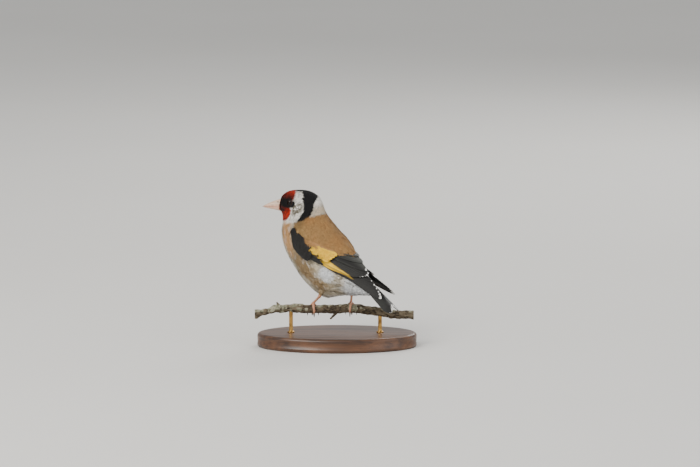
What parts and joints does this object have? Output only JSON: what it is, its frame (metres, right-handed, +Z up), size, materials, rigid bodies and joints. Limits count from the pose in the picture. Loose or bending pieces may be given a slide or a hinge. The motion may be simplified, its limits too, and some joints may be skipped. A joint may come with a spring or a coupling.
{
  "type": "european goldfinch",
  "caption": "Life-size still model of a european goldfinch perched on a cut twig, head turned to its left, on a small display stand.",
  "frame": {"origin": "centre of the base's underside, on the surface the model stands on", "axes": "+Z up; +X along the twig, towards the side where the tail hangs; the bird's bill is towards -X and its left side, the one most seen, towards -Y"},
  "size_m": [0.1056, 0.064, 0.1011],
  "materials": {
    "head_feathers": "matte feathers: red face, white cheek, black crown",
    "neck_feathers": "matte feathers, whitish to buff",
    "body_feathers": "matte feathers, buff-brown above, whitish below",
    "thigh_feathers": "matte downy feathers",
    "wing_feathers": "satin black feathers with a yellow band and white tips",
    "tail_feathers": "satin black feathers with white tips",
    "bill_horn": "smooth pale pinkish horn",
    "eye": "glossy, very dark brown",
    "leg_skin": "scaly pinkish skin, satin",
    "claw_horn": "smooth brown horn",
    "bark": "rough bark with pale lichen crust",
    "base_wood": "dark stained wood, satin",
    "rod_brass": "brushed"
  },
  "bodies": {
    "root": {"head": "head_feathers", "neck": "neck_feathers", "torso": "body_feathers", "bill_upper": "bill_horn", "bill_lower": "bill_horn", "eye_left": "eye", "eye_right": "eye", "wing_left": "wing_feathers", "wing_right": "wing_feathers", "tail": "tail_feathers", "thigh_left": "thigh_feathers", "thigh_right": "thigh_feathers", "shank_left": "leg_skin", "shank_right": "leg_skin", "foot_left": "leg_skin", "foot_right": "leg_skin", "claw_hind_left": "claw_horn", "claw_inner_left": "claw_horn", "claw_middle_left": "claw_horn", "claw_outer_left": "claw_horn", "claw_hind_right": "claw_horn", "claw_inner_right": "claw_horn", "claw_middle_right": "claw_horn", "claw_outer_right": "claw_horn", "perch": "bark", "stand_base": "base_wood", "stand_rod_1": "rod_brass", "stand_rod_2": "rod_brass"}
  },
  "joints": []
}
